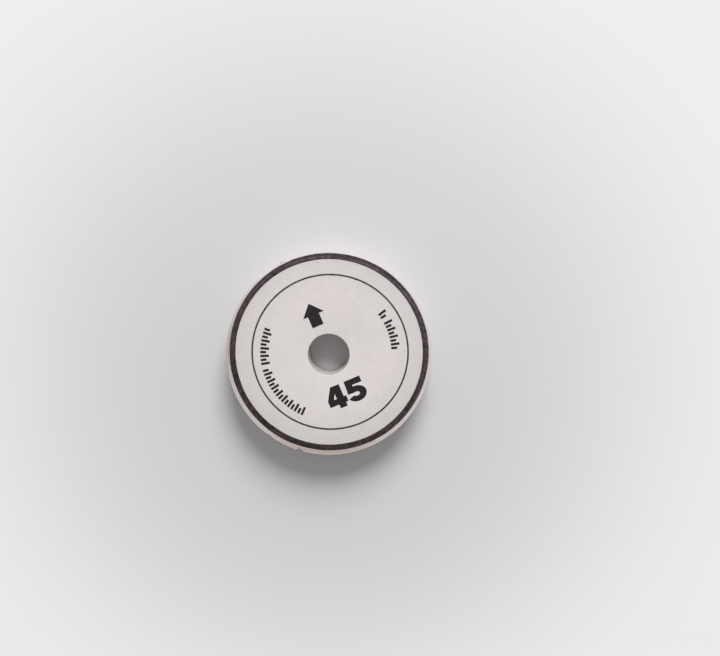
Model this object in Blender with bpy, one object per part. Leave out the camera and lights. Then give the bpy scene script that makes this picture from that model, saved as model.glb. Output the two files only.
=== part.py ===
"""A push-in adapter for records with a wide centre hole.

The adapter is one solid disc. It fills the record's wide hole and leaves a plain, slightly tapered
bore for the turntable's spindle. It lies on its back with the printed face up. The origin is the
middle of the back face, +Z runs along the bore towards the printed face, and +Y points to the top
of the print.
"""

import math
from collections import namedtuple

import bmesh
import bpy
from mathutils import Vector

MM = 0.001

# The disc
OUTER_DIAMETER = 38.0 * MM
THICKNESS = 6.0 * MM
RIM_ROUND = 0.12 * MM

# The bore, a little wider at the printed face than at the back
BORE_FRONT_DIAMETER = 7.64 * MM
BORE_BACK_DIAMETER = 7.4 * MM
BORE_FRONT_ROUND = 0.2 * MM
BORE_BACK_ROUND = 0.12 * MM

# The dark ring of the print. It was laid on slightly out of centre, so the pale margin outside it
# has a narrowest and a widest place, opposite each other.
NARROW_MARGIN = 0.09 * MM
WIDE_MARGIN = 0.79 * MM
NARROW_MARGIN_ANGLE = math.radians(54)
RING_WIDTH = 1.1 * MM

# The thin circle inside the ring
CIRCLE_GAP = 2.74 * MM
CIRCLE_LINE = 0.32 * MM
CIRCLE_SHIFT = Vector((0.195, -0.01)) * MM

# Flaws of the rim, deepest at its front edge
BURR_ANGLE = math.radians(93.3)
BURR_LENGTH = 1.3 * MM
BURR_HEIGHT = 0.3 * MM
BURR_REACH = 0.6 * MM
NOTCH_ANGLE = math.radians(230)
NOTCH_LENGTH = 1.5 * MM
NOTCH_DEPTH = 0.3 * MM
NOTCH_REACH = 2.2 * MM
DENT_ANGLE = math.radians(211)
DENT_LENGTH = 1.8 * MM
DENT_DEPTH = 0.13 * MM
DENT_REACH = 1.2 * MM

# A flaw of the bore, deepest at its back edge
CHIP_ANGLE = math.radians(248.3)
CHIP_LENGTH = 0.9 * MM
CHIP_DEPTH = 0.17 * MM
CHIP_REACH = 0.7 * MM

# Fineness of the mesh
EVEN_SECTIONS = 120
FLAW_SECTIONS = 8
ROUND_STEPS = 4
WALL_ROWS = 5

# Material slots
PLASTIC = 0
INK = 1

OUTER_RADIUS = OUTER_DIAMETER / 2
BORE_FRONT_RADIUS = BORE_FRONT_DIAMETER / 2
BORE_BACK_RADIUS = BORE_BACK_DIAMETER / 2
FLAT_RADIUS = OUTER_RADIUS - RIM_ROUND
CENTRE = Vector((0, 0))

# One loop of the skin: a circle about centre, at a height. band is the material of the strip that
# leads from it to the next loop, and worn is the edge whose flaws shape it, if any does.
Loop = namedtuple("Loop", "centre radius height band worn")

# One flaw: positive size moves the wall outward, negative size moves it inward. It is largest at
# its edge and dies out along the wall.
Flaw = namedtuple("Flaw", "angle length size reach")

# An edge with flaws
Edge = namedtuple("Edge", "radius height flaws")

RIM_EDGE = Edge(OUTER_RADIUS, THICKNESS, (
    Flaw(BURR_ANGLE, BURR_LENGTH, BURR_HEIGHT, BURR_REACH),
    Flaw(NOTCH_ANGLE, NOTCH_LENGTH, -NOTCH_DEPTH, NOTCH_REACH),
    Flaw(DENT_ANGLE, DENT_LENGTH, -DENT_DEPTH, DENT_REACH),
))
BORE_EDGE = Edge(BORE_BACK_RADIUS, 0.0, (
    Flaw(CHIP_ANGLE, CHIP_LENGTH, CHIP_DEPTH, CHIP_REACH),
))


def clear_scene():
    """Removes the objects that a new scene starts with."""
    for obj in list(bpy.data.objects):
        bpy.data.objects.remove(obj, do_unlink=True)


def make_material(name, colour, roughness):
    """A plain non-metal finish."""
    material = bpy.data.materials.new(name)
    material.use_nodes = True
    shader = material.node_tree.nodes["Principled BSDF"]
    shader.inputs["Base Color"].default_value = (*colour, 1.0)
    shader.inputs["Roughness"].default_value = roughness
    shader.inputs["Metallic"].default_value = 0.0
    material.diffuse_color = (*colour, 1.0)
    return material


def turn_between(angle, other):
    """The signed turn from one angle to another, the short way round."""
    return (other - angle + math.pi) % math.tau - math.pi


def flaw_half_turn(edge, flaw):
    """Half of the angle that a flaw takes up on its edge."""
    return flaw.length / edge.radius / 2


def section_angles():
    """Angles of the disc's sections: even steps, with finer ones across each flaw."""
    angles = [math.tau * i / EVEN_SECTIONS for i in range(EVEN_SECTIONS)]
    spare = math.tau / EVEN_SECTIONS / 4
    for edge in (RIM_EDGE, BORE_EDGE):
        for flaw in edge.flaws:
            half = flaw_half_turn(edge, flaw)
            angles = [a for a in angles if abs(turn_between(flaw.angle, a)) > half + spare]
            for i in range(FLAW_SECTIONS + 1):
                angles.append((flaw.angle + half * (2 * i / FLAW_SECTIONS - 1)) % math.tau)
    return sorted(angles)


def edge_offset(edge, angle, height):
    """How far an edge's flaws move the wall outward, or inward where negative, at one place."""
    offset = 0.0
    for flaw in edge.flaws:
        along = abs(turn_between(flaw.angle, angle)) / flaw_half_turn(edge, flaw)
        away = abs(height - edge.height) / flaw.reach
        if along < 1 and away < 1:
            offset += flaw.size * math.cos(along * math.pi / 2) ** 2 * math.cos(away * math.pi / 2)
    return offset


def corner(centre_radius, centre_height, size, start, end, worn):
    """Loops round one rounded edge. The angles are those of the section, 0 pointing outward."""
    loops = []
    for i in range(ROUND_STEPS + 1):
        a = math.radians(start + (end - start) * i / ROUND_STEPS)
        radius = centre_radius + size * math.cos(a)
        height = centre_height + size * math.sin(a)
        loops.append(Loop(CENTRE, radius, height, PLASTIC, worn))
    return loops


def wall_loops(start, end, worn):
    """Loops along a wall between two rounded edges, closest together near the worn edge, its start.

    start and end are (radius, height), and their own loops belong to the rounded edges.
    """
    loops = []
    for i in range(1, WALL_ROWS):
        radius, height = Vector(start).lerp(Vector(end), (i / WALL_ROWS) ** 2)
        loops.append(Loop(CENTRE, radius, height, PLASTIC, worn))
    return loops


def print_loops():
    """Loops on the front face along the edges of the thin circle and of the dark ring."""
    shift = (WIDE_MARGIN - NARROW_MARGIN) / 2
    ring_centre = shift * Vector((math.cos(NARROW_MARGIN_ANGLE), math.sin(NARROW_MARGIN_ANGLE)))
    ring_outer = FLAT_RADIUS - (WIDE_MARGIN + NARROW_MARGIN) / 2
    ring_inner = ring_outer - RING_WIDTH
    circle_centre = ring_centre + CIRCLE_SHIFT
    circle_outer = ring_inner - CIRCLE_GAP
    circle_inner = circle_outer - CIRCLE_LINE
    return [
        Loop(circle_centre, circle_inner, THICKNESS, INK, None),
        Loop(circle_centre, circle_outer, THICKNESS, PLASTIC, None),
        Loop(ring_centre, ring_inner, THICKNESS, INK, None),
        Loop(ring_centre, ring_outer, THICKNESS, PLASTIC, None),
    ]


def disc_loops():
    """All loops of the skin: up the bore, out over the face, down the rim, and so back."""
    back, front, rim = BORE_BACK_ROUND, BORE_FRONT_ROUND, RIM_ROUND
    low, high = rim, THICKNESS - rim
    foot = (BORE_BACK_RADIUS, back)
    mouth = (BORE_FRONT_RADIUS, THICKNESS - front)
    loops = corner(BORE_BACK_RADIUS + back, back, back, 270, 180, BORE_EDGE)
    loops += wall_loops(foot, mouth, BORE_EDGE)
    loops += corner(BORE_FRONT_RADIUS + front, THICKNESS - front, front, 180, 90, None)
    loops += print_loops()
    loops += corner(FLAT_RADIUS, high, rim, 90, 0, RIM_EDGE)
    loops += wall_loops((OUTER_RADIUS, high), (OUTER_RADIUS, low), RIM_EDGE)
    loops += corner(FLAT_RADIUS, low, rim, 0, -90, RIM_EDGE)
    return loops


def loop_points(loop, angles):
    """The points of one loop, one on each section."""
    points = []
    for angle in angles:
        radius = loop.radius
        if loop.worn:
            radius += edge_offset(loop.worn, angle, loop.height)
        x = loop.centre.x + radius * math.cos(angle)
        y = loop.centre.y + radius * math.sin(angle)
        points.append(Vector((x, y, loop.height)))
    return points


def build_disc():
    """The disc as one closed skin, its strips joined loop to loop."""
    angles = section_angles()
    loops = disc_loops()
    bm = bmesh.new()
    rows = [[bm.verts.new(point) for point in loop_points(loop, angles)] for loop in loops]
    for k, row in enumerate(rows):
        next_row = rows[(k + 1) % len(rows)]
        for i in range(len(angles)):
            j = (i + 1) % len(angles)
            face = bm.faces.new((row[i], row[j], next_row[j], next_row[i]))
            face.material_index = loops[k].band
    bmesh.ops.recalc_face_normals(bm, faces=bm.faces[:])
    mesh = bpy.data.meshes.new("adapter_disc")
    bm.to_mesh(mesh)
    bm.free()
    mesh.shade_smooth()
    mesh.set_sharp_from_angle(angle=math.radians(35))
    disc = bpy.data.objects.new("adapter_disc", mesh)
    bpy.context.scene.collection.objects.link(disc)
    return disc


def main():
    clear_scene()
    disc = build_disc()
    disc.data.materials.append(make_material("Pale matt plastic", (0.67, 0.625, 0.615), 0.55))
    disc.data.materials.append(make_material("Dark print", (0.055, 0.042, 0.045), 0.60))


main()
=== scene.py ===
"""The looks of the record adapter: its disc with worn rim, the print on its face, light and camera."""

import math
from collections import namedtuple

import bmesh
import bpy
from mathutils import Matrix, Vector, noise
from mathutils.geometry import tessellate_polygon


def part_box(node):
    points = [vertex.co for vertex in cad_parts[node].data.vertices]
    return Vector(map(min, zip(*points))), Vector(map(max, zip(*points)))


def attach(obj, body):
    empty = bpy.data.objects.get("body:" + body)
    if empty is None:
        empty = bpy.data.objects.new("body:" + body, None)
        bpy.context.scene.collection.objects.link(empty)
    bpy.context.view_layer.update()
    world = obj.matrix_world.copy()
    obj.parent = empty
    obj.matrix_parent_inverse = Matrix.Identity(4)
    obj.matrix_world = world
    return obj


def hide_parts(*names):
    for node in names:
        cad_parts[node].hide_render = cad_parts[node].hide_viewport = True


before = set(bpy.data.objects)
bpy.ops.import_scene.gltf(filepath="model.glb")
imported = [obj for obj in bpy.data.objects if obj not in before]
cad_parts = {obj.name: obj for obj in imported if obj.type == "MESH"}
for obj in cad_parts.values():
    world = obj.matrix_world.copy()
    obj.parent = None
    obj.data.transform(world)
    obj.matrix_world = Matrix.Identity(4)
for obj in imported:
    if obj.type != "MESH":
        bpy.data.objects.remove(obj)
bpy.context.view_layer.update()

MM = 0.001
AXIS = Vector((0.0, 0.0))

# The marks' uneven edges are drawn from this seed, so that each run gives the same ones
EDGE_SEED = 1
noise.seed_set(EDGE_SEED)

# The disc's box, from its part in model.glb
LOW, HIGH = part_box("adapter_disc")
FACE_HEIGHT = HIGH.z
OUTER_RADIUS = (HIGH.x - LOW.x) / 2

# The disc's section
RIM_ROUND = 0.12 * MM
BORE_FRONT_RADIUS = 3.82 * MM
BORE_BACK_RADIUS = 3.70 * MM
BORE_FRONT_ROUND = 0.2 * MM
BORE_BACK_ROUND = 0.12 * MM

# The print, laid on a little out of the disc's centre
RING_CENTRE = Vector((0.205, 0.280)) * MM
RING_OUTER = 18.44 * MM
RING_INNER = 17.34 * MM
CIRCLE_CENTRE = Vector((0.400, 0.270)) * MM
CIRCLE_OUTER = 14.60 * MM
CIRCLE_LINE = 0.32 * MM

# The photograph's view: its size, where in it the middle of the face lies, the scale there, how far
# the camera is, how the face is turned up and sideways, and how the print is turned in the picture
IMAGE_WIDTH = 720
IMAGE_HEIGHT = 656
FACE_MIDDLE_PX = Vector((328.65, 354.74))
PX_PER_METRE = 5400.0
CAMERA_DISTANCE = 165 * MM
TURN_UP = math.radians(6.46)
TURN_SIDE = math.radians(-0.36)
PRINT_TURN = math.radians(23.0)


# Shader nodes

# A field of noise: its waves a metre, its octaves and how strong the finer ones are, and how many
# times longer its waves are along the axis than across
Noise = namedtuple("Noise", "scale detail roughness drawn_out", defaults=(4.0, 0.5, 1.0))

# A bump: the height that a whole step of its noise stands for, and its strength
Bump = namedtuple("Bump", "height strength")

# Sockets of a node that mixes colours: its two inputs and its output
MIX_FIRST = 6
MIX_SECOND = 7
MIX_RESULT = 2


def new_material(name):
    """A material, its node tree and its surface shader."""
    material = bpy.data.materials.new(name)
    material.use_nodes = True
    tree = material.node_tree
    return material, tree, tree.nodes["Principled BSDF"]


def add_node(tree, kind, **values):
    """A node with some of its inputs or settings set by name."""
    node = tree.nodes.new(kind)
    for key, value in values.items():
        if key in node.inputs:
            node.inputs[key].default_value = value
        else:
            setattr(node, key, value)
    return node


def feed(tree, value, socket):
    """Links an output to a socket, or sets the socket to a plain value."""
    if isinstance(value, bpy.types.NodeSocket):
        tree.links.new(value, socket)
    else:
        socket.default_value = value


def object_place(tree):
    """The place on the object, in metres."""
    return tree.nodes.new("ShaderNodeTexCoord").outputs["Object"]


def number_math(tree, operation, first, second):
    """A sum, product and so on of an output and a number or another output."""
    node = add_node(tree, "ShaderNodeMath", operation=operation)
    feed(tree, first, node.inputs[0])
    feed(tree, second, node.inputs[1])
    return node.outputs["Value"]


def vector_math(tree, operation, first, second=None):
    """The same for vectors. A length or a dot product comes out as a number."""
    node = add_node(tree, "ShaderNodeVectorMath", operation=operation)
    feed(tree, first, node.inputs[0])
    if second is not None:
        feed(tree, second, node.inputs[1])
    return node.outputs["Value" if operation in ("LENGTH", "DOT_PRODUCT") else "Vector"]


def in_range(tree, value, low, high):
    """A value between 0 and 1, brought to lie between low and high."""
    node = tree.nodes.new("ShaderNodeMapRange")
    node.inputs["To Min"].default_value = low
    node.inputs["To Max"].default_value = high
    tree.links.new(value, node.inputs["Value"])
    return node.outputs["Result"]


def noise_field(tree, place, field):
    """The value of a field of noise at a place."""
    stretch = add_node(tree, "ShaderNodeMapping", Scale=(1.0, 1.0, 1 / field.drawn_out))
    node = add_node(tree, "ShaderNodeTexNoise", Scale=field.scale, Detail=field.detail,
                    Roughness=field.roughness)
    tree.links.new(place, stretch.inputs["Vector"])
    tree.links.new(stretch.outputs["Vector"], node.inputs["Vector"])
    return node.outputs["Fac"]


def grey(level):
    """A colour without hue."""
    return (level, level, level)


def colour_ramp(tree, value, stops, reach=1.0, interpolation="LINEAR"):
    """The colour for a value that is 1 at reach, from (place, colour) stops in reach's own units."""
    node = tree.nodes.new("ShaderNodeValToRGB")
    ramp = node.color_ramp
    ramp.interpolation = interpolation
    while len(ramp.elements) < len(stops):
        ramp.elements.new(0.5)
    for element, (place, colour) in zip(ramp.elements, stops):
        element.position = place / reach
        element.color = (*colour, 1.0)
    tree.links.new(value, node.inputs["Fac"])
    return node.outputs["Color"]


def multiply(tree, first, second, share=None):
    """Two colours multiplied, or as much of the second as share says."""
    node = add_node(tree, "ShaderNodeMix", data_type="RGBA", blend_type="MULTIPLY", Factor=1.0)
    if share:
        tree.links.new(share, node.inputs["Factor"])
    tree.links.new(first, node.inputs[MIX_FIRST])
    tree.links.new(second, node.inputs[MIX_SECOND])
    return node.outputs[MIX_RESULT]


def level_offset(tree, place, centre, reach=1.0):
    """The level way from a centre to a place, in metres or in shares of a reach."""
    offset = vector_math(tree, "SUBTRACT", place, (centre.x, centre.y, 0.0))
    return vector_math(tree, "MULTIPLY", offset, (1 / reach, 1 / reach, 0.0))


def distance(tree, place, centre, reach):
    """Level distance from a centre, from 0 there to 1 at reach."""
    return vector_math(tree, "LENGTH", level_offset(tree, place, centre, reach))


def slope(tree, place, turn, rise):
    """A value that rises from 0 at the axis, by so much a metre, towards one side of the print."""
    return vector_math(tree, "DOT_PRODUCT", place, (rise * math.cos(turn), rise * math.sin(turn), 0.0))


def bump_chain(tree, heights):
    """A surface normal with bumps one on another, from (height output, bump) pairs."""
    normal = None
    for height, bump in heights:
        node = add_node(tree, "ShaderNodeBump", Strength=bump.strength, Distance=bump.height)
        tree.links.new(height, node.inputs["Height"])
        if normal:
            tree.links.new(normal, node.inputs["Normal"])
        normal = node.outputs["Normal"]
    return normal


# The plastic

PLASTIC_IOR = 1.46
SUBSURFACE_WEIGHT = 0.08
SUBSURFACE_RADIUS = (1.0, 0.8, 0.7)
SUBSURFACE_SCALE = 0.4 * MM
PLASTIC_ROUGHNESS = (0.46, 0.66)

# The plastic's own colour, which drifts a little from place to place
TONE_DRIFT = Noise(95.0, detail=2.0)
PLASTIC_TONES = (
    (0.30, (0.712, 0.680, 0.664)),
    (0.50, (0.725, 0.682, 0.671)),
    (0.70, (0.736, 0.685, 0.679)),
)

# Painted light and shade by distance from the axis in millimetres, and what the colour is multiplied
# by:
# painted shade deep in the bore, a painted lighter band from its mouth over the inner face, painted
# shade towards the rim, a darker band across the margin, a painted highlight on the rim's rounding,
# and painted shade with a painted tan reflection on the rim wall
SHADE_REACH_MM = 20.0
PAINTED_LIGHT_BY_RADIUS = (
    (3.70, (0.60, 0.59, 0.58)),
    (3.75, (0.68, 0.67, 0.66)),
    (3.82, (0.74, 0.73, 0.72)),
    (3.98, (1.03, 1.03, 1.03)),
    (11.0, (1.025, 1.025, 1.02)),
    (16.5, (0.925, 0.935, 0.935)),
    (18.25, (0.870, 0.860, 0.860)),
    (18.50, (0.845, 0.825, 0.825)),
    (18.70, (0.915, 0.895, 0.900)),
    (18.93, (0.935, 0.915, 0.918)),
    (19.0, (0.78, 0.762, 0.755)),
)

# The margin has two patches of painted shade, a warm one at the picture's bottom with a painted tan
# reflection, and a greyer one at its left. Each has the turn where it is darkest and what the colour
# is multiplied by, over a value that is 1 on the rim at that turn and falls to 0 a quarter turn away.
PAINTED_SHADE_PATCHES = (
    (math.radians(243), (
        (0.50, (1.0, 1.0, 1.0)),
        (0.80, (0.96, 0.93, 0.925)),
        (0.96, (0.79, 0.69, 0.63)),
    )),
    (math.radians(153), (
        (0.63, (1.0, 1.0, 1.0)),
        (0.88, (0.89, 0.88, 0.87)),
        (0.945, (0.80, 0.785, 0.77)),
        (0.975, (0.66, 0.63, 0.60)),
    )),
)

# How strong the painted shade is across the margin, by distance from the axis in millimetres
PAINTED_SHADE_PARTS = ((18.0, grey(0.0)), (18.25, grey(1.0)), (18.55, grey(1.0)), (18.85, grey(0.65)))

# Soft scuffs that are drawn out along the axis, a fine grain, and specks of dust
SCUFF = Noise(650.0, detail=6.0, roughness=0.65, drawn_out=9.0)
SCUFF_TONES = ((0.30, (0.955, 0.950, 0.950)), (0.55, grey(1.0)))
SCUFF_BUMP = Bump(0.050 * MM, 0.7)
PLASTIC_GRAIN = Noise(2600.0)
PLASTIC_GRAIN_BUMP = Bump(0.030 * MM, 1.0)
DUST = Noise(2100.0, detail=0.0)
DUST_TONES = ((0.83, grey(1.0)), (0.89, (0.84, 0.81, 0.79)))


def plastic_material():
    """Pale matt plastic with painted light and shade from bore to rim and painted shade on the margin,
    scuffed and specked.
    """
    material, tree, shader = new_material("pale_plastic")
    shader.inputs["IOR"].default_value = PLASTIC_IOR
    shader.inputs["Subsurface Weight"].default_value = SUBSURFACE_WEIGHT
    shader.inputs["Subsurface Radius"].default_value = SUBSURFACE_RADIUS
    shader.inputs["Subsurface Scale"].default_value = SUBSURFACE_SCALE
    place = object_place(tree)
    radius = distance(tree, place, AXIS, SHADE_REACH_MM * MM)
    margin = colour_ramp(tree, radius, PAINTED_SHADE_PARTS, SHADE_REACH_MM)
    scuff = noise_field(tree, place, SCUFF)
    colour = colour_ramp(tree, noise_field(tree, place, TONE_DRIFT), PLASTIC_TONES)
    # Painted light and shade by distance from the axis
    colour = multiply(tree, colour, colour_ramp(tree, radius, PAINTED_LIGHT_BY_RADIUS, SHADE_REACH_MM))
    # Painted shade on the margin in two patches, with a painted tan reflection at the bottom
    for turn, shades in PAINTED_SHADE_PATCHES:
        side = slope(tree, place, turn, 1 / OUTER_RADIUS)
        colour = multiply(tree, colour, colour_ramp(tree, side, shades), margin)
    colour = multiply(tree, colour, colour_ramp(tree, scuff, SCUFF_TONES))
    dust = noise_field(tree, place, DUST)
    colour = multiply(tree, colour, colour_ramp(tree, dust, DUST_TONES))
    tree.links.new(colour, shader.inputs["Base Color"])
    tree.links.new(in_range(tree, scuff, *PLASTIC_ROUGHNESS), shader.inputs["Roughness"])
    grain = noise_field(tree, place, PLASTIC_GRAIN)
    normal = bump_chain(tree, ((grain, PLASTIC_GRAIN_BUMP), (scuff, SCUFF_BUMP)))
    tree.links.new(normal, shader.inputs["Normal"])
    return material


# The ink

INK_SPECULAR = 0.22
INK_ROUGHNESS = (0.48, 0.68)

# The ink's tone follows a sum: how thin it is, in blotches and specks, and a painted sheen that
# lightens it towards one side of the print, by so much a metre. Up to THICK an ink has the first of
# its two colours, and from THIN on the second.
BLOTCH = Noise(1150.0, roughness=0.65)
INK_SHEEN_TURN = math.radians(50)
INK_SHEEN_SLOPE = 4.3
INK_SPECK = Noise(4600.0, detail=1.0)
INK_SPECK_PARTS = ((0.62, grey(0.0)), (0.72, grey(1.0)))
SPECK_THINNING = 0.25
THICK = 0.28
THIN = 0.74

# The ink's hue drifts, and turns from brown to purple towards one side, by so much a metre
HUE_DRIFT = Noise(130.0, detail=2.0)
PURPLE_TURN = math.radians(42)
HUE_SLOPE = 12.0
INK_TINTS = ((0.25, (1.03, 0.94, 0.86)), (0.75, (0.98, 0.99, 1.15)))

INK_GRAIN = Noise(5200.0, detail=3.0)
INK_GRAIN_BUMP = Bump(0.008 * MM, 0.4)

# The ring's ink is a little thicker on the whole, and streaked along the ring: the streaks' share
# in how thin it is, and how many times longer than wide they are
RING_DARKENING = 0.06
STREAK = Noise(2300.0, detail=2.0)
STREAK_SHARE = 0.55
STREAK_STRETCH = 13.0

# A painted sheen in an arc on the ring, strongest towards the side of the ink's painted sheen: its
# circle, and what the colour is multiplied by at so many millimetres from that circle
SHEEN_ARC_CENTRE = Vector((-0.045, -0.110)) * MM
SHEEN_ARC_RADIUS_MM = 18.235
SHEEN_ARC_GAINS = ((-0.26, grey(1.0)), (0.0, grey(2.5)), (0.19, grey(1.0)))

# Each ink's colour where it is thick, and where it is thin or in its painted sheen
RING_COLOURS = ((0.010, 0.007, 0.007), (0.086, 0.062, 0.063))
CIRCLE_COLOURS = ((0.014, 0.011, 0.011), (0.112, 0.086, 0.086))
MARK_COLOURS = ((0.002, 0.0015, 0.002), (0.022, 0.015, 0.020))


def streaks_along(tree, place, centre, radius):
    """Noise drawn out along a ring about a centre, as a roller leaves it."""
    level = level_offset(tree, place, centre)
    around = vector_math(tree, "NORMALIZE", level)
    around = vector_math(tree, "MULTIPLY", around, (radius / STREAK_STRETCH,) * 3)
    across = tree.nodes.new("ShaderNodeCombineXYZ")
    tree.links.new(vector_math(tree, "LENGTH", level), across.inputs["Z"])
    drawn_out = vector_math(tree, "ADD", around, across.outputs["Vector"])
    return noise_field(tree, drawn_out, STREAK)


def with_sheen_arc(tree, place, colour):
    """A ring's colour with the painted sheen arc on it."""
    away = distance(tree, place, SHEEN_ARC_CENTRE, SHADE_REACH_MM * MM)
    stops = [(SHEEN_ARC_RADIUS_MM + step, gain) for step, gain in SHEEN_ARC_GAINS]
    gain = colour_ramp(tree, away, stops, SHADE_REACH_MM)
    share = slope(tree, place, INK_SHEEN_TURN, 1 / OUTER_RADIUS)
    return multiply(tree, colour, gain, share)


def ink_material(name, colours, ring=None):
    """Matt dark print, blotchy and speckled, with painted sheen towards one side, browner on the
    other.

    ring is the (centre, middle radius) of a printed ring, whose ink also has streaks and a painted
    sheen arc.
    """
    material, tree, shader = new_material(name)
    shader.inputs["Specular IOR Level"].default_value = INK_SPECULAR
    thick_colour, thin_colour = colours
    place = object_place(tree)
    blotch = noise_field(tree, place, BLOTCH)
    # Blotches, plus a painted sheen towards one side
    thinness_and_sheen = number_math(tree, "ADD", blotch, slope(tree, place, INK_SHEEN_TURN, INK_SHEEN_SLOPE))
    if ring:
        streaks = number_math(tree, "MULTIPLY", streaks_along(tree, place, *ring), STREAK_SHARE)
        thinness_and_sheen = number_math(tree, "ADD", thinness_and_sheen, streaks)
        thinness_and_sheen = number_math(tree, "SUBTRACT", thinness_and_sheen, STREAK_SHARE / 2 + RING_DARKENING)
    specks = colour_ramp(tree, noise_field(tree, place, INK_SPECK), INK_SPECK_PARTS)
    specks = number_math(tree, "MULTIPLY", specks, SPECK_THINNING)
    thinness_and_sheen = number_math(tree, "ADD", thinness_and_sheen, specks)
    hue = noise_field(tree, place, HUE_DRIFT)
    hue = number_math(tree, "ADD", hue, slope(tree, place, PURPLE_TURN, HUE_SLOPE))
    colour = colour_ramp(tree, thinness_and_sheen, ((THICK, thick_colour), (THIN, thin_colour)))
    colour = multiply(tree, colour, colour_ramp(tree, hue, INK_TINTS))
    if ring:
        # The painted sheen arc on the ring
        colour = with_sheen_arc(tree, place, colour)
    tree.links.new(colour, shader.inputs["Base Color"])
    tree.links.new(in_range(tree, blotch, *INK_ROUGHNESS), shader.inputs["Roughness"])
    grain = noise_field(tree, place, INK_GRAIN)
    tree.links.new(bump_chain(tree, ((grain, INK_GRAIN_BUMP),)), shader.inputs["Normal"])
    return material


# Meshes

def make_object(name, bm, material, smooth_angle=None):
    """An object from a finished mesh, smooth up to an angle if one is given."""
    mesh = bpy.data.meshes.new(name)
    bmesh.ops.recalc_face_normals(bm, faces=bm.faces[:])
    bm.to_mesh(mesh)
    bm.free()
    if smooth_angle is not None:
        mesh.shade_smooth()
        mesh.set_sharp_from_angle(angle=smooth_angle)
    mesh.materials.append(material)
    obj = bpy.data.objects.new(name, mesh)
    bpy.context.scene.collection.objects.link(obj)
    return obj


# The disc

# A flaw: its outline along the edge, as (degrees round the print, millimetres proud of the edge)
# points, and how far it reaches along the wall from that edge
Flaw = namedtuple("Flaw", "outline reach")

BURR = Flaw(((90.6, 0.0), (92.2, 0.15), (93.6, 0.30), (94.2, 0.27), (94.6, 0.0)), 0.7 * MM)
NOTCH = Flaw((
    (226.2, 0.0), (227.5, 0.14), (228.2, 0.10), (228.7, -0.24), (229.8, -0.31),
    (230.8, -0.22), (231.6, -0.17), (232.3, 0.0),
), 2.6 * MM)
DENT = Flaw(((208.2, 0.0), (210.3, -0.12), (211.9, -0.10), (213.6, 0.0)), 1.4 * MM)
RIM_FLAWS = (BURR, NOTCH, DENT)
BORE_CHIP = Flaw(((241.5, 0.0), (244.5, 0.17), (252.0, 0.19), (255.5, 0.0)), 0.7 * MM)

# How rough the flaws' own surfaces are: the share of their size, and the noise's waves a degree
# round the print and its wave length along the wall
FLAW_ROUGHNESS = 0.2
FLAW_WAVES = 1.7
FLAW_WAVE_LENGTH = 0.3 * MM

# How much the rim wavers, and its waves over one radius
RIM_WAVER = 0.012 * MM
RIM_WAVES = 22

# Fineness of the mesh, with the degrees from section to section inside a flaw
SECTIONS = 900
FLAW_STEP = 0.09
ROUND_STEPS = 7
RIM_ROWS = 16
BORE_ROWS = 10

# Faces that meet at a larger angle than this have a sharp edge between them
SMOOTH_ANGLE = math.radians(40)


def flaw_offset(flaw, angle, depth):
    """How far a flaw moves the wall outward at an angle, at a depth along the wall."""
    if depth >= flaw.reach:
        return 0.0
    fade = math.sqrt(1 - (depth / flaw.reach) ** 2)
    peak = max(flaw.outline, key=lambda point: abs(point[1]))[0]
    here = peak + (math.degrees(angle) % 360 - peak) / fade
    for (a0, d0), (a1, d1) in zip(flaw.outline, flaw.outline[1:]):
        if a0 < here <= a1:
            place = Vector((here * FLAW_WAVES, depth / FLAW_WAVE_LENGTH, 0.0))
            rough = 1 + FLAW_ROUGHNESS * noise.noise(place)
            return (d0 + (d1 - d0) * (here - a0) / (a1 - a0)) * fade * rough * MM
    return 0.0


def section_angles():
    """Angles of the disc's sections: even steps, with finer ones across each flaw."""
    angles = [360 * i / SECTIONS for i in range(SECTIONS)]
    for flaw in RIM_FLAWS + (BORE_CHIP,):
        first, last = flaw.outline[0][0], flaw.outline[-1][0]
        angles = [a for a in angles if not first - FLAW_STEP < a < last + FLAW_STEP]
        count = round((last - first) / FLAW_STEP)
        angles += [first + (last - first) * i / count for i in range(count + 1)]
    return [math.radians(a) for a in sorted(angles)]


def rim_offset(angle, height):
    """How far the rim departs from its circle at one place."""
    offset = sum(flaw_offset(flaw, angle, FACE_HEIGHT - height) for flaw in RIM_FLAWS)
    place = Vector((math.cos(angle), math.sin(angle), height / OUTER_RADIUS))
    return offset + RIM_WAVER * noise.noise(place * RIM_WAVES)


def bore_offset(angle, height):
    """How far the bore's wall departs from its circle at one place."""
    return flaw_offset(BORE_CHIP, angle, height)


def corner(centre_radius, centre_height, size, start, end, offset):
    """Loops (radius, height, offset rule) round one rounded edge; 0 degrees points outward."""
    loops = []
    for i in range(ROUND_STEPS + 1):
        a = math.radians(start + (end - start) * i / ROUND_STEPS)
        loops.append((centre_radius + size * math.cos(a), centre_height + size * math.sin(a), offset))
    return loops


def wall(start, end, rows, offset):
    """Loops along a straight wall between (radius, height) ends, which two rounded edges bring."""
    start, end = Vector(start), Vector(end)
    return [(*start.lerp(end, i / rows), offset) for i in range(1, rows)]


def disc_loops():
    """All loops of the skin: up the bore, out over the face, down the rim, and so back."""
    back, front, rim = BORE_BACK_ROUND, BORE_FRONT_ROUND, RIM_ROUND
    top, edge = FACE_HEIGHT, OUTER_RADIUS - RIM_ROUND
    foot, mouth = (BORE_BACK_RADIUS, back), (BORE_FRONT_RADIUS, top - front)
    loops = corner(BORE_BACK_RADIUS + back, back, back, 270, 180, bore_offset)
    loops += wall(foot, mouth, BORE_ROWS, bore_offset)
    loops += corner(BORE_FRONT_RADIUS + front, top - front, front, 180, 90, bore_offset)
    loops += corner(edge, top - rim, rim, 90, 0, rim_offset)
    loops += wall((OUTER_RADIUS, top - rim), (OUTER_RADIUS, rim), RIM_ROWS, rim_offset)
    loops += corner(edge, rim, rim, 0, -90, rim_offset)
    return loops


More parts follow.
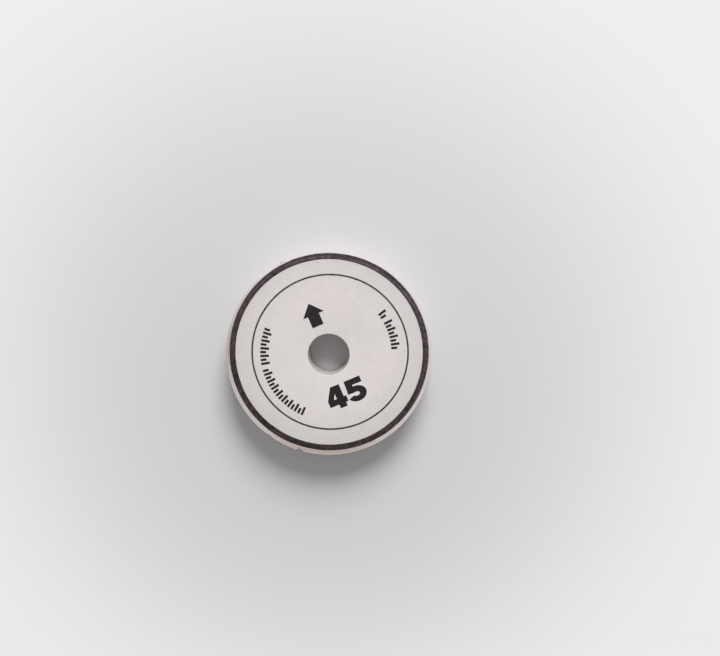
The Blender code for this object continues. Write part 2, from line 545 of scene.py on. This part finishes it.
def make_disc(material):
    """The disc as one closed skin, its strips joined loop to loop."""
    bm = bmesh.new()
    angles = section_angles()
    rows = []
    for radius, height, offset in disc_loops():
        row = []
        for angle in angles:
            r = radius + offset(angle, height)
            row.append(bm.verts.new((r * math.cos(angle), r * math.sin(angle), height)))
        rows.append(row)
    for k, row in enumerate(rows):
        next_row = rows[(k + 1) % len(rows)]
        for i in range(len(angles)):
            j = (i + 1) % len(angles)
            bm.faces.new((row[i], row[j], next_row[j], next_row[i]))
    return make_object("disc", bm, material, SMOOTH_ANGLE)


# The print

# How far its film stands above the face and reaches below it
FILM = 0.012 * MM
FILM_ROOT = 0.010 * MM

# How much the edges waver, how many points a round edge has, and how far apart those of a mark are
RING_WAVER = 0.02 * MM
RING_POINTS = 900
CIRCLE_WAVER = 0.012 * MM
CIRCLE_POINTS = 720
MARK_WAVER = 0.02 * MM
TICK_WAVER = 0.015 * MM
MARK_STEP = 0.12 * MM

# The noise of the edges: on round ones coarse and fine waves over one radius, the fine ones' share,
# and how far an edge's own radius moves it in the noise; on marks a wave length
COARSE_WAVES = 14
FINE_WAVES = 60
FINE_SHARE = 0.6
EDGE_SPREAD = 7
MARK_WAVE_LENGTH = 0.35 * MM


def circle_outline(centre, radius, count, waver):
    """A circle whose edge wavers a little, as printed edges do."""
    points = []
    for i in range(count):
        a = math.tau * i / count
        place = Vector((math.cos(a), math.sin(a), radius / OUTER_RADIUS * EDGE_SPREAD))
        fine = FINE_SHARE * noise.noise(place * FINE_WAVES)
        r = radius + waver * (noise.noise(place * COARSE_WAVES) + fine)
        points.append(centre + r * Vector((math.cos(a), math.sin(a))))
    return points


def worn_outline(corners, waver):
    """A closed outline with points at small steps along it, each moved a little by noise."""
    points = []
    for here, there in zip(corners, corners[1:] + corners[:1]):
        count = max(1, round((there - here).length / MARK_STEP))
        for i in range(count):
            p = here.lerp(there, i / count)
            shift = noise.noise_vector(Vector((p.x, p.y, 0.0)) / MARK_WAVE_LENGTH)
            points.append(p + waver * Vector((shift.x, shift.y)))
    return points


def film_piece(name, shapes, material):
    """Thin flat film on the face. Each shape is a list of outlines: its edge, then its holes."""
    bm = bmesh.new()
    low, high = FACE_HEIGHT - FILM_ROOT, FACE_HEIGHT + FILM
    for outlines in shapes:
        flat = [p for outline in outlines for p in outline]
        triangles = tessellate_polygon([[Vector((p.x, p.y, 0.0)) for p in o] for o in outlines])
        lower = [bm.verts.new((p.x, p.y, low)) for p in flat]
        upper = [bm.verts.new((p.x, p.y, high)) for p in flat]
        for triangle in triangles:
            bm.faces.new([upper[i] for i in triangle])
            bm.faces.new([lower[i] for i in reversed(triangle)])
        start = 0
        for outline in outlines:
            count = len(outline)
            for i in range(count):
                a, b = start + i, start + (i + 1) % count
                bm.faces.new((lower[a], lower[b], upper[b], upper[a]))
            start += count
    piece = make_object(name, bm, material)
    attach(piece, "root")


def arc(cx, cy, rx, ry, start, end, count):
    """Points along an elliptic arc, in millimetres."""
    points = []
    for i in range(count + 1):
        a = math.radians(start + (end - start) * i / count)
        points.append((cx + rx * math.cos(a), cy + ry * math.sin(a)))
    return points


def placed(points, centre, turn=0.0):
    """Millimetre points turned and moved to their place on the face."""
    c, s = math.cos(turn), math.sin(turn)
    return [centre + Vector((x * c - y * s, x * s + y * c)) * MM for x, y in points]


# The number's two digits, in millimetres from each one's lower left corner
DIGIT_HEIGHT = 4.4
DIGIT_WIDTH = 3.6
DIGIT_GAP = 0.3
FOUR_EDGE = [
    (0.00, 0.78), (1.74, 0.78), (1.74, 0.00), (3.12, 0.00), (3.12, 0.78), (3.60, 0.78),
    (3.60, 1.93), (3.12, 1.93), (3.12, 4.40), (1.40, 4.40), (0.00, 2.05),
]
FOUR_HOLE = [(1.13, 1.93), (1.74, 1.93), (1.74, 2.94)]
FIVE_EDGE = (
    [(0.22, 4.40), (3.38, 4.40), (3.38, 3.26), (1.48, 3.26), (1.44, 2.88)]
    + arc(1.70, 1.47, 1.89, 1.47, 96, -158, 22)
    + arc(1.64, 1.44, 0.64, 0.40, -158, 128, 18)
    + [(0.10, 1.83)]
)
NUMBER_PLACE = Vector((0.14, -7.97)) * MM

# The arrow, in millimetres from its middle
ARROW_EDGE = [
    (0.0, 2.25), (-2.05, -0.05), (-1.10, -0.05), (-1.10, -2.25),
    (1.10, -2.25), (1.10, -0.05), (2.05, -0.05),
]
ARROW_PLACE = Vector((0.33, 7.92)) * MM

# An arc of tick marks: the degrees of its middle, the distances in millimetres from the scales'
# centre at which its ticks stand and end, and how many ticks each of its groups has
Scale = namedtuple("Scale", "middle foot end groups")

LEFT_SCALE = Scale(179.5, 12.8, 11.2, (16, 10))
RIGHT_SCALE = Scale(-2.0, 11.5, 13.1, (2, 8))
SCALE_CENTRE = Vector((0.25, 0.26)) * MM

# Degrees from tick to tick and from one group to the next, a tick's width in millimetres, and a
# short tick's length as a share of a long one's
TICK_PITCH = 3.35
GROUP_STEP = 6.2
TICK_WIDTH = 0.44
SHORT_TICK = 0.68


def make_number(material):
    """The two digits, side by side below the bore."""
    left = -DIGIT_WIDTH - DIGIT_GAP / 2
    right = DIGIT_GAP / 2
    shapes = []
    for origin, outlines in ((left, (FOUR_EDGE, FOUR_HOLE)), (right, (FIVE_EDGE,))):
        shape = []
        for outline in outlines:
            moved = [(x + origin, y - DIGIT_HEIGHT / 2) for x, y in outline]
            shape.append(worn_outline(placed(moved, NUMBER_PLACE), MARK_WAVER))
        shapes.append(shape)
    film_piece("print_number", shapes, material)


def make_arrow(material):
    """The plain arrow above the bore."""
    outline = placed(ARROW_EDGE, ARROW_PLACE)
    film_piece("print_arrow", [[worn_outline(outline, MARK_WAVER)]], material)


def make_scale(name, scale, material):
    """Two groups of radial ticks on one arc, long and short in turn, like a dial's scale."""
    spread = sum((n - 1) * TICK_PITCH for n in scale.groups) + GROUP_STEP
    angle = scale.middle + spread / 2
    half = TICK_WIDTH / 2
    shapes = []
    for n in scale.groups:
        for i in range(n):
            tip = scale.foot + (scale.end - scale.foot) * (SHORT_TICK if i % 2 else 1.0)
            tick = [(scale.foot, -half), (tip, -half), (tip, half), (scale.foot, half)]
            outline = placed(tick, SCALE_CENTRE, math.radians(angle - i * TICK_PITCH))
            shapes.append([worn_outline(outline, TICK_WAVER)])
        angle -= (n - 1) * TICK_PITCH + GROUP_STEP
    film_piece(name, shapes, material)


def make_print():
    """The ring, the circle and the marks inside it."""
    ring = (RING_CENTRE, (RING_INNER + RING_OUTER) / 2)
    film_piece("print_ring", [[
        circle_outline(RING_CENTRE, RING_OUTER, RING_POINTS, RING_WAVER),
        circle_outline(RING_CENTRE, RING_INNER, RING_POINTS, RING_WAVER),
    ]], ink_material("ring_ink", RING_COLOURS, ring))
    film_piece("print_circle", [[
        circle_outline(CIRCLE_CENTRE, CIRCLE_OUTER, CIRCLE_POINTS, CIRCLE_WAVER),
        circle_outline(CIRCLE_CENTRE, CIRCLE_OUTER - CIRCLE_LINE, CIRCLE_POINTS, CIRCLE_WAVER),
    ]], ink_material("circle_ink", CIRCLE_COLOURS))
    mark_ink = ink_material("mark_ink", MARK_COLOURS)
    make_number(mark_ink)
    make_arrow(mark_ink)
    make_scale("print_scale_left", LEFT_SCALE, mark_ink)
    make_scale("print_scale_right", RIGHT_SCALE, mark_ink)


# Stage, light and camera

# The floor as it is near the disc, with half its width in metres, and the plain background that it
# turns into farther off: by how much at which distance in millimetres
FLOOR_COLOUR = (0.69, 0.682, 0.69)
FLOOR_ROUGHNESS = 0.9
FLOOR_HALF = 3.0
PALE_BACKGROUND = (0.925, 0.915, 0.925)
GLOW_REACH_MM = 300.0
GLOW_SHARES = ((24.0, grey(0.0)), (90.0, grey(0.75)), (280.0, grey(1.0)))

# The light from all round, as a share of the background's
FILL_LIGHT = 0.395

# The lamp: its power in watts, its distance and width in metres, its tilt from straight above the
# face towards the picture's top, and its lean to the picture's right
KEY_POWER = 8.45
KEY_DISTANCE = 0.9
KEY_SIZE = 0.47
KEY_TILT = math.radians(55)
KEY_SIDE = 0.15

# The camera's sensor width in millimetres, and the nearest and farthest that it sees in metres
SENSOR = 36.0
CLIP_START = 0.01
CLIP_END = 20.0


def seen_directly(tree):
    """1 for rays that show the background to the eye, also in a reflection or through glass."""
    path = tree.nodes.new("ShaderNodeLightPath").outputs
    glossy = number_math(tree, "MAXIMUM", path["Is Glossy Ray"], path["Is Camera Ray"])
    return number_math(tree, "MAXIMUM", path["Is Transmission Ray"], glossy)


def make_floor():
    """Plain pale floor. What the eye sees of it is evened out, so that it stays pale far off."""
    material, tree, shader = new_material("floor")
    shader.inputs["Base Color"].default_value = (*FLOOR_COLOUR, 1.0)
    shader.inputs["Roughness"].default_value = FLOOR_ROUGHNESS
    shader.inputs["Specular IOR Level"].default_value = 0.0
    glow = add_node(tree, "ShaderNodeEmission", Color=(*PALE_BACKGROUND, 1.0), Strength=1.0)
    away = distance(tree, object_place(tree), AXIS, GLOW_REACH_MM * MM)
    far = colour_ramp(tree, away, GLOW_SHARES, GLOW_REACH_MM, "EASE")
    mix = tree.nodes.new("ShaderNodeMixShader")
    tree.links.new(number_math(tree, "MULTIPLY", far, seen_directly(tree)), mix.inputs["Fac"])
    tree.links.new(shader.outputs["BSDF"], mix.inputs[1])
    tree.links.new(glow.outputs["Emission"], mix.inputs[2])
    tree.links.new(mix.outputs["Shader"], tree.nodes["Material Output"].inputs["Surface"])
    bm = bmesh.new()
    half = FLOOR_HALF
    corners = [(-half, -half), (half, -half), (half, half), (-half, half)]
    bm.faces.new([bm.verts.new((x, y, LOW.z)) for x, y in corners])
    floor = make_object("floor", bm, material)


def make_world():
    """Even light from all round, which the eye sees as the plain background."""
    world = bpy.data.worlds.new("studio")
    bpy.context.scene.world = world
    world.use_nodes = True
    tree = world.node_tree
    shader = tree.nodes["Background"]
    shader.inputs["Color"].default_value = (*PALE_BACKGROUND, 1.0)
    strength = in_range(tree, seen_directly(tree), FILL_LIGHT, 1.0)
    tree.links.new(strength, shader.inputs["Strength"])


def picture_axes():
    """World directions of the picture's right and up, and of the face's normal."""
    c, s = math.cos(PRINT_TURN), math.sin(PRINT_TURN)
    return Vector((c, -s, 0)), Vector((s, c, 0)), Vector((0, 0, 1))


def make_key_light():
    """One large soft lamp from the top of the picture."""
    right, up, normal = picture_axes()
    light = bpy.data.lights.new("key", "AREA")
    light.shape = "DISK"
    light.size = KEY_SIZE
    light.energy = KEY_POWER
    lamp = bpy.data.objects.new("key", light)
    direction = up * math.sin(KEY_TILT) + normal * math.cos(KEY_TILT) + right * KEY_SIDE
    direction.normalize()
    lamp.location = direction * KEY_DISTANCE
    lamp.rotation_euler = direction.to_track_quat("Z", "Y").to_euler()
    bpy.context.scene.collection.objects.link(lamp)


def make_camera():
    """The camera that shows the face where and as the photograph does."""
    right, up, normal = picture_axes()
    focal_px = PX_PER_METRE * CAMERA_DISTANCE
    data = bpy.data.cameras.new("camera")
    data.sensor_width = SENSOR
    data.lens = SENSOR * focal_px / IMAGE_WIDTH
    data.clip_start = CLIP_START
    data.clip_end = CLIP_END
    camera = bpy.data.objects.new("camera", data)
    turn = Matrix.Rotation(TURN_SIDE, 3, "Y") @ Matrix.Rotation(TURN_UP, 3, "X")
    across = (FACE_MIDDLE_PX.x - IMAGE_WIDTH / 2) / PX_PER_METRE
    rise = (IMAGE_HEIGHT / 2 - FACE_MIDDLE_PX.y) / PX_PER_METRE
    axes = Matrix((right, up, normal)).transposed()
    to_world = axes @ turn.transposed()
    place = Vector((0, 0, FACE_HEIGHT)) + to_world @ Vector((-across, -rise, CAMERA_DISTANCE))
    camera.matrix_world = Matrix.Translation(place) @ to_world.to_4x4()
    bpy.context.scene.collection.objects.link(camera)
    bpy.context.scene.camera = camera


make_camera()
disc = make_disc(plastic_material())
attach(disc, "root")
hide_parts("adapter_disc")
make_print()
make_floor()
make_world()
make_key_light()
bpy.context.scene.view_settings.view_transform = "Standard"
